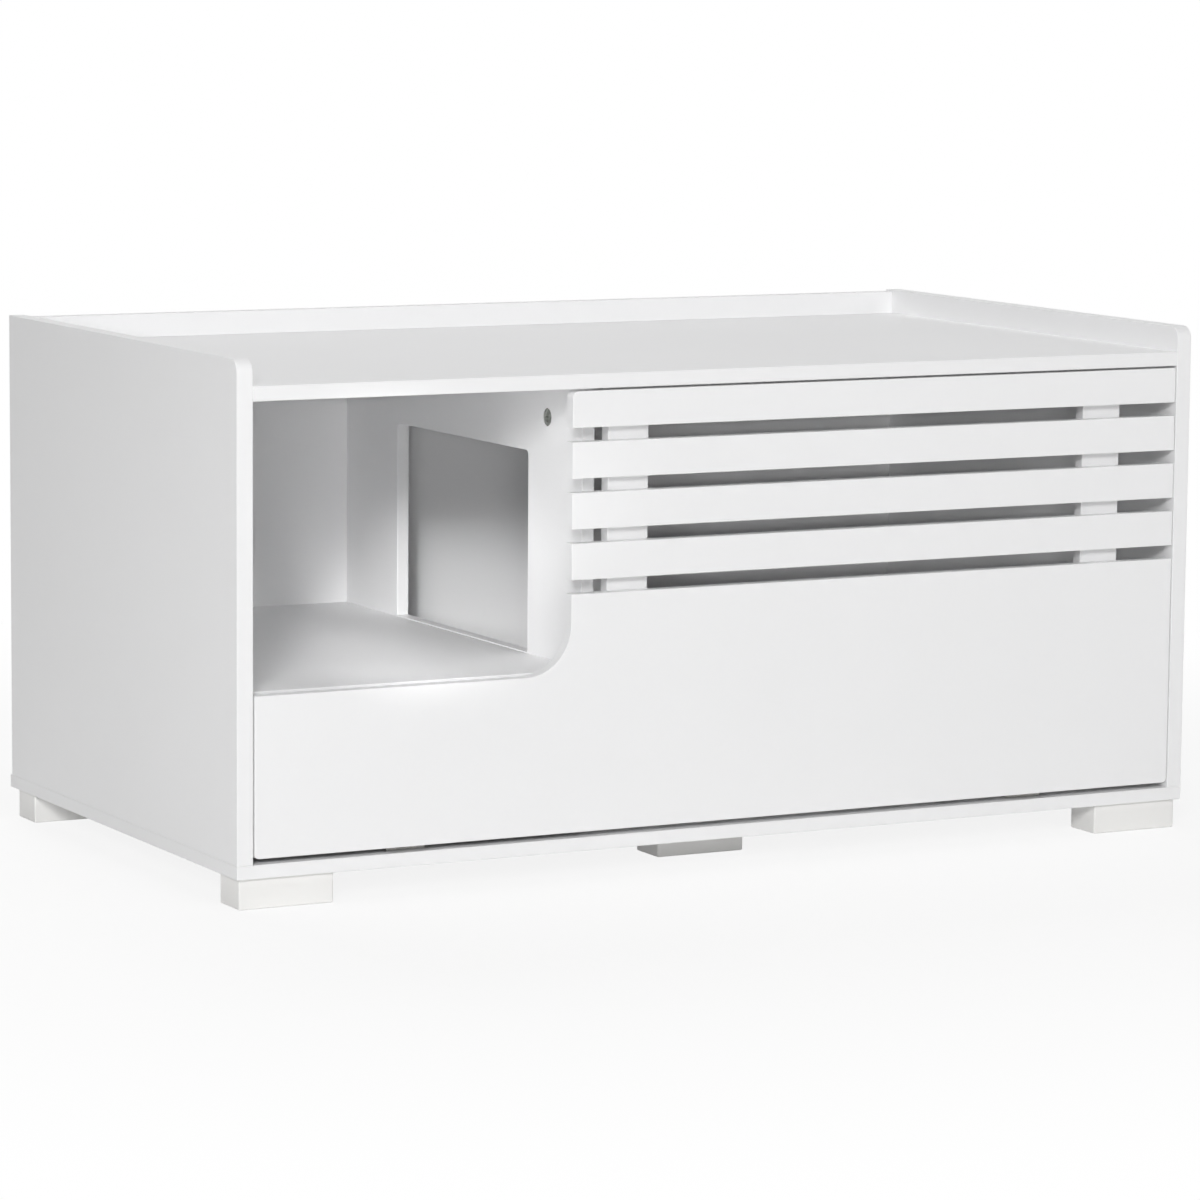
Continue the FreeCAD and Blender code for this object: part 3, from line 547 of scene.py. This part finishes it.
def pressed_ferrite(name):
    """Dark pressed ferrite with pale specks."""
    look = bpy.context.scene.cabinet_finish
    material, tree, shader, where = new_material(name, {"Specular IOR Level": 0.4})
    grain = use_group(tree, metal_grain, {
        "Where": where, "Pit scale": 2600.0, "Cloud scale": 500.0, "Clean": opaque(look.ferrite_black),
        "Stained": darker(look.ferrite_black, -FERRITE_PALING), "Smooth": 0.55, "Rough": 0.8,
    })
    tree.links.new(grain["Colour"], shader.inputs["Base Color"])
    tree.links.new(grain["Roughness"], shader.inputs["Roughness"])
    roughen(tree, shader, grain["Height"], FERRITE_PIT_DEPTH)
    return material


# Pieces of the frame

def nodes_in(slot):
    """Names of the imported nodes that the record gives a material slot."""
    return [part["node"] for part in frame["record"]["subparts"] if part["material_slot"] == slot]


def finish_node(name, material):
    """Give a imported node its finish."""
    surfaces = frame["nodes"][name].data.materials
    surfaces.clear()
    surfaces.append(material)


def finish_slot(slot, material):
    """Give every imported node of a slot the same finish."""
    for name in nodes_in(slot):
        finish_node(name, material)


def opening(name):
    """Lowest and highest corner of a stated opening."""
    found = next(box for box in frame["record"]["physics"]["openings"] if box["name"] == name)
    return [Vector(corner) for corner in found["box_m"]]


def solids_of(name):
    """The points of each separate solid of a node.

    Equal points are welded, each point starts with its own label, and each triangle passes its
    lowest label to its corners until nothing changes.
    """
    mesh = frame["nodes"][name].data
    points = np.empty(len(mesh.vertices) * 3, np.float32)
    mesh.vertices.foreach_get("co", points)
    points = points.reshape(-1, 3).astype(float)
    corners = np.empty(len(mesh.loops), np.int32)
    mesh.loops.foreach_get("vertex_index", corners)
    weld = np.unique(np.round(points / WELD_DISTANCE), axis=0, return_inverse=True)[1].reshape(-1)
    triangles = weld[corners].reshape(-1, 3)
    labels = np.arange(weld.max() + 1)
    while True:
        spread = labels.copy()
        np.minimum.at(spread, triangles.ravel(), np.repeat(labels[triangles].min(1), 3))
        if np.array_equal(spread, labels):
            break
        labels = spread[spread]
    own = labels[weld]
    return [points[own == label] for label in np.unique(own)]


Fastener = namedtuple("Fastener", "start along across beside stations radii")


def fasteners(name):
    """Where each fastener of a node lies: its head end, its three directions and its turned profile.

    A fastener is longest along its axis, and its head is the end with the wider flat face.
    """
    found = []
    for points in solids_of(name):
        low, high = points.min(0), points.max(0)
        axis = int(np.argmax(high - low))
        middle = (low + high) / 2
        others = [turn % 3 for turn in (axis + 1, axis + 2)]
        radii = np.hypot(*(points[:, other] - middle[other] for other in others))
        at_low = radii[points[:, axis] < low[axis] + WELD_DISTANCE].max()
        at_high = radii[points[:, axis] > high[axis] - WELD_DISTANCE].max()
        ahead = 1 if at_low >= at_high else -1
        start = middle.copy()
        start[axis] = low[axis] if ahead > 0 else high[axis]
        directions = np.eye(3)
        along = directions[axis] * ahead
        across = directions[others[0]]
        stations = (points[:, axis] - start[axis]) * ahead
        found.append(Fastener(start, along, across, np.cross(along, across), stations, radii))
    return found


def widest(fastener, start, end):
    """The largest radius of a fastener's profile between two stations."""
    inside = (fastener.stations >= start - WELD_DISTANCE) & (fastener.stations <= end + WELD_DISTANCE)
    return fastener.radii[inside].max()


# Turned surfaces

def turned_faces(rows, columns):
    """Faces of a closed turned grid: quads between the rows, and a fan of triangles at each pole."""
    turn = np.arange(columns)
    beyond = (turn + 1) % columns
    ring = (np.arange(rows - 1) * columns)[:, None]
    quads = np.stack([ring + turn, ring + beyond, ring + beyond + columns, ring + turn + columns], 2)
    first_pole, last_pole = rows * columns, rows * columns + 1
    last = (rows - 1) * columns
    head_fan = np.stack([np.full(columns, first_pole), beyond, turn], 1)
    tail_fan = np.stack([np.full(columns, last_pole), last + turn, last + beyond], 1)
    return quads.reshape(-1, 4), np.concatenate([head_fan, tail_fan])


def turned_points(radii, heights, angles, first_height, last_height):
    """Points of a turned grid: each has a radius, a height and an angle, with poles on the axis."""
    grid = np.stack([radii * np.cos(angles), radii * np.sin(angles), heights], 2).reshape(-1, 3)
    poles = np.array([[0, 0, first_height], [0, 0, last_height]])
    return np.concatenate([grid, poles])


def cross_angles(reach, arm):
    """Angles round a head that hit every corner of a cross: its arm tips and its inner corners."""
    tip = math.atan2(arm / 2, reach)
    inner = QUARTER_TURN / 2
    between = (tip + inner) / 2
    quarter = np.array([0, tip, between, inner, QUARTER_TURN - between, QUARTER_TURN - tip])
    return np.concatenate([quarter + QUARTER_TURN * turn for turn in range(4)])


def cross_radius(angles, reach, arm):
    """Radius of a cross's outline: the arm's tip where that is nearer, and otherwise its side."""
    lengthwise = np.maximum(np.abs(np.cos(angles)), np.abs(np.sin(angles)))
    sideways = np.minimum(np.abs(np.cos(angles)), np.abs(np.sin(angles)))
    return np.minimum(reach / lengthwise, arm / 2 / np.maximum(sideways, WELD_DISTANCE))


THREAD_STEPS = 8
THREAD_CREST_SHARE = 0.07
THREAD_FOOT_SHARE = 0.32
RECESS_FLOOR_SHARE = 0.6
RIM_BEVEL_SHARE = 0.05


def thread_ridge(heights, angles, pitch):
    """Height of a thread from 0 to 1: a flat-topped ridge where height over pitch less the turn is a half."""
    phase = np.mod(heights / pitch - angles / FULL_TURN, 1)
    slope = THREAD_FOOT_SHARE - THREAD_CREST_SHARE
    return np.clip((THREAD_FOOT_SHARE - np.abs(phase - 0.5)) / slope, 0, 1)


def head_rows(radius, angles, look):
    """Rows from a cross recess's floor over the flat of a head to its bevelled rim."""
    outline = cross_radius(angles, radius * look.recess_share, radius * look.recess_arm_share)
    even = np.ones_like(angles)
    bevel = radius * RIM_BEVEL_SHARE
    depth = radius * look.recess_depth_share
    radii = [outline * RECESS_FLOOR_SHARE, outline, (radius - bevel) * even, radius * even]
    heights = [depth * even, 0 * even, 0 * even, bevel * even]
    return radii, heights, depth


def screw_shape(fastener, look):
    """A countersunk wood screw: cross recess, right-angled cone, thread on a thinner core and a sharp point.

    On the shank the radius is the core's plus the thread's ridge, and both shrink evenly to the point.
    """
    end = fastener.stations.max()
    head = widest(fastener, 0, 0)
    crest = widest(fastener, end / 2, end)
    angles = cross_angles(head * look.recess_share, head * look.recess_arm_share)
    radii, heights, depth = head_rows(head, angles, look)
    neck = head - crest
    pitch = 2 * crest * look.screw_pitch_share
    thread_start = neck + (look.plain_share * end if end > look.long_screw else 0)
    rows = np.arange(neck, end, pitch / THREAD_STEPS)[:, None] * np.ones_like(angles)
    ridge = thread_ridge(rows, angles, pitch)
    fade = np.clip((rows - thread_start) / pitch, 0, 1)
    plain = np.where(rows < thread_start, 1.0, look.core_share + (1 - look.core_share) * (1 - fade))
    profile = np.maximum(plain, look.core_share + (1 - look.core_share) * ridge * fade)
    taper = np.clip((end - rows) / (2 * crest), 0, 1)
    radii = np.concatenate([np.array(radii), crest * profile * taper])
    heights = np.concatenate([np.array(heights), rows])
    return turned_points(radii, heights, angles, depth, end), turned_faces(len(radii), len(angles))


def bolt_shape(fastener, look):
    """A cam bolt: recessed head, plain neck, and a coarse thread that runs out at a chamfer."""
    stations = np.unique(np.round(fastener.stations / WELD_DISTANCE)) * WELD_DISTANCE
    head_end, collar, chamfer = stations[1:4]
    end = stations[-1]
    head = widest(fastener, 0, 0)
    crest = widest(fastener, collar, end)
    neck = widest(fastener, end, end)
    angles = cross_angles(head * look.recess_share, head * look.recess_arm_share)
    radii, heights, depth = head_rows(head, angles, look)
    even = np.ones_like(angles)
    bevel = head * RIM_BEVEL_SHARE
    radii += [head * even, (head - bevel) * even, neck * even, neck * even, crest * even, crest * even]
    heights += [(head_end - bevel) * even, head_end * even, head_end * even]
    heights += [collar * even, collar * even, (collar + bevel) * even]
    pitch = 2 * crest * look.bolt_pitch_share
    rows = np.arange(collar + 2 * bevel, end, pitch / THREAD_STEPS)[:, None] * even
    ridge = thread_ridge(rows, angles, pitch)
    taper = np.clip((end - rows) / (end - chamfer), 0, 1) * (1 - neck / crest) + neck / crest
    profile = np.minimum(look.core_share + (1 - look.core_share) * ridge, taper)
    radii = np.concatenate([np.array(radii), crest * profile])
    heights = np.concatenate([np.array(heights), rows])
    return turned_points(radii, heights, angles, depth, rows.max()), turned_faces(len(radii), len(angles))


FLUTE_COLUMNS = 4


def dowel_shape(fastener, look):
    """A fluted dowel: the radius dips in a round groove once per flute, between chamfered ends."""
    body = fastener.radii.max()
    full = fastener.stations[fastener.radii > body - WELD_DISTANCE]
    stations = np.array([0, full.min(), full.max(), fastener.stations.max()])
    tip = widest(fastener, 0, 0)
    columns = look.flutes * FLUTE_COLUMNS
    angles = np.arange(columns) * FULL_TURN / columns
    groove = look.flute_depth * (0.5 - 0.5 * np.cos(look.flutes * angles))
    even = np.ones_like(angles)
    radii = np.stack([tip * even, body - groove, body - groove, tip * even])
    heights = stations[:, None] * even
    return turned_points(radii, heights, angles, 0, stations[-1]), turned_faces(len(radii), columns)


SHARP_ANGLE = math.radians(35)


def fill_mesh(name, points, quads, triangles):
    """A mesh of these points, with all the quads first and the triangles after them."""
    mesh = bpy.data.meshes.new(name)
    corners = np.concatenate([quads.ravel(), triangles.ravel()])
    starts = np.concatenate([np.arange(len(quads)) * 4, quads.size + np.arange(len(triangles)) * 3])
    mesh.vertices.add(len(points))
    mesh.vertices.foreach_set("co", points.astype(np.float32).ravel())
    mesh.loops.add(len(corners))
    mesh.loops.foreach_set("vertex_index", corners.astype(np.int32))
    mesh.polygons.add(len(starts))
    mesh.polygons.foreach_set("loop_start", starts.astype(np.int32))
    mesh.update(calc_edges=True)
    return mesh


def fastener_piece(node, shape, material):
    """Stand a detailed fastener for every plain pin of a node, in one piece that rides where the node does.

    Each copy's points are its start plus the shape's points along its own three directions.
    """
    places = fasteners(node)
    unit, (quads, triangles) = shape(places[0], bpy.context.scene.cabinet_fasteners)
    starts = np.array([one.start for one in places])
    directions = np.array([(one.across, one.beside, one.along) for one in places])
    points = starts[:, None] + unit @ directions
    first = (np.arange(len(places)) * len(unit))[:, None, None]
    quads = (first + quads).reshape(-1, 4)
    triangles = (first + triangles).reshape(-1, 3)
    mesh = fill_mesh("detailed_" + node, points.reshape(-1, 3), quads, triangles)
    mesh.shade_smooth()
    mesh.set_sharp_from_angle(angle=SHARP_ANGLE)
    mesh.materials.append(material)
    piece = bpy.data.objects.new("detailed_" + node, mesh)
    bpy.context.scene.collection.objects.link(piece)
    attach(piece, frame["nodes"][node]["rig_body"])
    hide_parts(node)
    return piece


# Operators

SIDE_PANELS = ("left_side_panel", "right_side_panel")
FINISHED_MARGIN = Vector((0.004, 0.004, 0.004))
ROUNDED_CORNER = 4 * FINISHED_MARGIN


class CATCABINET_OT_carcass(bpy.types.Operator):
    """Face the carcass boards in white, each with its own banded edges"""

    bl_idname = "catcabinet.carcass"
    bl_label = "Carcass boards"

    def execute(self, context):
        passage_low, passage_high = opening("cat_passage")
        for name in nodes_in("carcass_board"):
            low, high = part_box(name)
            cut_low, cut_high = low, low
            if name in SIDE_PANELS:
                cut_low, cut_high = Vector((low.x, low.y, high.z)) - ROUNDED_CORNER, high + FINISHED_MARGIN
                cut_high.y = low.y + ROUNDED_CORNER.y
            if name == "divider_panel":
                cut_low, cut_high = passage_low - FINISHED_MARGIN, passage_high + FINISHED_MARGIN
            finish_node(name, faced_board("white facing " + name, low, high, cut_low, cut_high))
        return {"FINISHED"}


class CATCABINET_OT_front(bpy.types.Operator):
    """Paint the flap front, its slats and its battens"""

    bl_idname = "catcabinet.front"
    bl_label = "Flap front"

    def execute(self, context):
        look = context.scene.cabinet_finish
        finish_slot("door_board", sprayed_paint("sprayed front", look.door_white))
        # The battens get the darker white, which paints in the shade behind the slats.
        finish_slot("batten_board", sprayed_paint("sprayed batten", look.batten_white))
        return {"FINISHED"}


class CATCABINET_OT_feet(bpy.types.Operator):
    """Paint the block feet"""

    bl_idname = "catcabinet.feet"
    bl_label = "Feet"

    def execute(self, context):
        white = context.scene.cabinet_finish.foot_white
        finish_slot("foot_block", sprayed_paint("sprayed foot", white))
        return {"FINISHED"}


class CATCABINET_OT_cams(bpy.types.Operator):
    """Finish the cams and give the cam bolts their threads"""

    bl_idname = "catcabinet.cams"
    bl_label = "Cam fittings"

    def execute(self, context):
        look = context.scene.cabinet_finish
        finish_slot("cam_zinc", plated_metal("cast zinc", look.zinc_grey))
        bright = plated_metal("plated bolt", look.steel_grey)
        for node in nodes_in("bolt_steel"):
            fastener_piece(node, bolt_shape, bright)
        return {"FINISHED"}


class CATCABINET_OT_dowels(bpy.types.Operator):
    """Flute the dowels and give them beech"""

    bl_idname = "catcabinet.dowels"
    bl_label = "Dowels"

    def execute(self, context):
        wood = beech("plain beech")
        for node in nodes_in("dowel_beech"):
            fastener_piece(node, dowel_shape, wood)
        return {"FINISHED"}


class CATCABINET_OT_screws(bpy.types.Operator):
    """Give every screw its thread, point and cross recess"""

    bl_idname = "catcabinet.screws"
    bl_label = "Screws"

    def execute(self, context):
        look = context.scene.cabinet_finish
        bright = plated_metal("plated screw", look.steel_grey)
        for node in nodes_in("screw_steel"):
            fastener_piece(node, screw_shape, bright)
        return {"FINISHED"}


class CATCABINET_OT_hinges(bpy.types.Operator):
    """Plate the hinges"""

    bl_idname = "catcabinet.hinges"
    bl_label = "Hinges"

    def execute(self, context):
        look = context.scene.cabinet_finish
        finish_slot("hinge_steel", plated_metal("plated hinge", look.nickel_grey))
        return {"FINISHED"}


class CATCABINET_OT_catches(bpy.types.Operator):
    """Finish the catch cases, their magnets and the strike plates"""

    bl_idname = "catcabinet.catches"
    bl_label = "Catches"

    def execute(self, context):
        look = context.scene.cabinet_finish
        finish_slot("catch_plastic", moulded_plastic("moulded catch"))
        finish_slot("magnet_ferrite", pressed_ferrite("pressed ferrite"))
        finish_slot("strike_steel", plated_metal("plated strike", look.steel_grey))
        return {"FINISHED"}


# Stage

# A lamp's turn from the front and its height in degrees, its distance, width and tallness in metres.
# A spot has a cone in degrees, and its width is the radius of its bulb. A lamp faces a place given as shares
# through the cabinet's box or, for a spot, through the entry bay.
Lamp = namedtuple("Lamp", "turn height distance width tall cone aim", defaults=(0, 0, (0.5, 0.5, 0.5)))
LAMPS = {
    "key": Lamp(-35, 20, 8.0, 1.5, 1.5),
    "low": Lamp(-28.5, 6.5, 8.0, 1.6, 0.12),
    "side": Lamp(-78, 4, 0.6, 0.1, 0.8, aim=(0, 0, 0.5)),
    "right": Lamp(52, 20, 6.0, 1.8, 1.8),
    "top": Lamp(-10, 70, 4.0, 1.6, 1.6),
    "back": Lamp(180, 50, 4.0, 1.6, 1.6),
    "ledge": Lamp(-32, 22, 1.0, 0.03, cone=13.5, aim=(0.47, 0, 0.48)),
    "bay": Lamp(5, 22, 1.0, 0.03, cone=13, aim=(0.47, 0, 0.46)),
    "divider": Lamp(-61, -6, 1.0, 0.03, cone=11, aim=(0.93, 0.11, 0.62)),
}
SPOT_BLEND_SHARE = 0.5
FLOOR_REACH = 12.0
FLOOR_DROP = 0.0002
CAMERA_REACH = 10 * FLOOR_REACH


def pale_surface(tree, stage):
    """A floor that light and shadow fall on, paled where the camera or a mirror sees it.

    It pales by a share near the middle, and grows fully white with the distance from there.
    """
    rays = tree.nodes.new("ShaderNodeLightPath").outputs
    seen = reckon(tree, "MAXIMUM", rays["Is Camera Ray"], rays["Is Glossy Ray"])
    seen = reckon(tree, "MAXIMUM", seen, rays["Is Transmission Ray"])
    where = tree.nodes.new("ShaderNodeTexCoord").outputs["Object"]
    distance = shade(tree, "ShaderNodeVectorMath", {0: where}, operation="LENGTH").outputs["Value"]
    fade = ramp(tree, distance, stage.shadow_start, stage.shadow_reach, stage.floor_fade_share, 1.0)
    lit = shade(tree, "ShaderNodeBsdfDiffuse", {"Color": opaque(stage.floor_colour)})
    white = shade(tree, "ShaderNodeEmission", {"Color": opaque((1, 1, 1)), "Strength": 1.0})
    factor = reckon(tree, "MULTIPLY", seen, fade)
    return shade(tree, "ShaderNodeMixShader", {0: factor, 1: lit.outputs[0], 2: white.outputs[0]}).outputs[0]


def lay_floor(stage):
    """A flat square floor just under the feet."""
    corners = np.array([[-1, -1], [1, -1], [1, 1], [-1, 1]]) * FLOOR_REACH
    mesh = bpy.data.meshes.new("floor")
    mesh.from_pydata([(x, y, -FLOOR_DROP) for x, y in corners], [], [(0, 1, 2, 3)])
    material = bpy.data.materials.new("pale floor")
    material.use_nodes = True
    tree = material.node_tree
    tree.nodes.clear()
    shade(tree, "ShaderNodeOutputMaterial", {"Surface": pale_surface(tree, stage)})
    mesh.materials.append(material)
    floor = bpy.data.objects.new("floor", mesh)
    bpy.context.scene.collection.objects.link(floor)


def light_room(stage):
    """Even light from all round, and white where the camera or a mirror sees past the floor."""
    world = bpy.data.worlds.new("studio")
    bpy.context.scene.world = world
    world.use_nodes = True
    tree = world.node_tree
    tree.nodes.clear()
    rays = tree.nodes.new("ShaderNodeLightPath").outputs
    seen = reckon(tree, "MAXIMUM", rays["Is Camera Ray"], rays["Is Glossy Ray"])
    seen = reckon(tree, "MAXIMUM", seen, rays["Is Transmission Ray"])
    even = shade(tree, "ShaderNodeBackground", {"Color": opaque((1, 1, 1)), "Strength": stage.room_light})
    white = shade(tree, "ShaderNodeBackground", {"Color": opaque((1, 1, 1)), "Strength": 1.0})
    surface = shade(tree, "ShaderNodeMixShader", {0: seen, 1: even.outputs[0], 2: white.outputs[0]})
    shade(tree, "ShaderNodeOutputWorld", {"Surface": surface.outputs[0]})


def hang_lamp(stage, name):
    """A flat lamp that faces its place in the cabinet's box, or a spot that faces into its entry.

    No lamp is mirrored in a board, so that none glares from any side.
    """
    lamp = LAMPS[name]
    turn, height = math.radians(lamp.turn), math.radians(lamp.height)
    away = Vector((math.sin(turn) * math.cos(height), -math.cos(turn) * math.cos(height), math.sin(height)))
    low, high = opening("entry_bay") if lamp.cone else CAD_BOX
    if lamp.cone:
        light = bpy.data.lights.new(name + " lamp", "SPOT")
        light.spot_size = math.radians(lamp.cone)
        light.spot_blend = SPOT_BLEND_SHARE
        light.shadow_soft_size = lamp.width
    else:
        light = bpy.data.lights.new(name + " lamp", "AREA")
        light.shape = "RECTANGLE"
        light.size = lamp.width
        light.size_y = lamp.tall
    light.energy = getattr(stage, name + "_power")
    holder = bpy.data.objects.new(name + " lamp", light)
    holder.location = low + (high - low) * Vector(lamp.aim) + away * lamp.distance
    holder.rotation_euler = (-away).to_track_quat("-Z", "Y").to_euler()
    holder.visible_glossy = False
    bpy.context.scene.collection.objects.link(holder)


def set_camera(stage):
    """The camera, turned about the upright axis, dipped and rolled."""
    lens = bpy.data.cameras.new("camera")
    lens.lens = stage.camera_lens
    lens.clip_end = CAMERA_REACH
    camera = bpy.data.objects.new("camera", lens)
    turned = Matrix.Rotation(stage.camera_turn, 4, "Z")
    dipped = Matrix.Rotation(QUARTER_TURN - stage.camera_dip, 4, "X")
    rolled = Matrix.Rotation(stage.camera_roll, 4, "Z")
    camera.matrix_world = Matrix.Translation(stage.camera_place) @ turned @ dipped @ rolled
    bpy.context.scene.collection.objects.link(camera)
    bpy.context.scene.camera = camera


class CATCABINET_OT_stage(bpy.types.Operator):
    """Lay the floor, hang the lamps and set the camera"""

    bl_idname = "catcabinet.stage"
    bl_label = "Stage"

    def execute(self, context):
        stage = context.scene.cabinet_stage
        context.scene.view_settings.view_transform = "Standard"
        lay_floor(stage)
        light_room(stage)
        for name in LAMPS:
            hang_lamp(stage, name)
        set_camera(stage)
        return {"FINISHED"}


PIECES = (
    CATCABINET_OT_carcass,
    CATCABINET_OT_front,
    CATCABINET_OT_feet,
    CATCABINET_OT_cams,
    CATCABINET_OT_dowels,
    CATCABINET_OT_screws,
    CATCABINET_OT_hinges,
    CATCABINET_OT_catches,
    CATCABINET_OT_stage,
)
SETTINGS = {
    "cabinet_finish": CabinetFinish,
    "cabinet_fasteners": CabinetFasteners,
    "cabinet_stage": CabinetStage,
}


class CATCABINET_PT_looks(bpy.types.Panel):
    """Settings and operators of the cabinet's looks"""

    bl_idname = "CATCABINET_PT_looks"
    bl_label = "Cat cabinet"
    bl_space_type = "VIEW_3D"
    bl_region_type = "UI"
    bl_category = "Cat cabinet"

    def draw(self, context):
        for name, group in SETTINGS.items():
            column = self.layout.column(align=True)
            for key in group.__annotations__:
                column.prop(getattr(context.scene, name), key)
        for piece in PIECES:
            self.layout.operator(piece.bl_idname)


def register():
    """Register the settings, operators and panel."""
    for kind in (*SETTINGS.values(), *PIECES, CATCABINET_PT_looks):
        bpy.utils.register_class(kind)
    for name, group in SETTINGS.items():
        setattr(bpy.types.Scene, name, bpy.props.PointerProperty(type=group))


def unregister():
    """Take the settings, operators and panel away again."""
    for name in SETTINGS:
        delattr(bpy.types.Scene, name)
    for kind in reversed((*SETTINGS.values(), *PIECES, CATCABINET_PT_looks)):
        bpy.utils.unregister_class(kind)


def main():
    """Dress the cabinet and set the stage."""
    register()
    for piece in PIECES:
        group, name = piece.bl_idname.split(".")
        getattr(getattr(bpy.ops, group), name)()


if __name__ == "__main__":
    main()
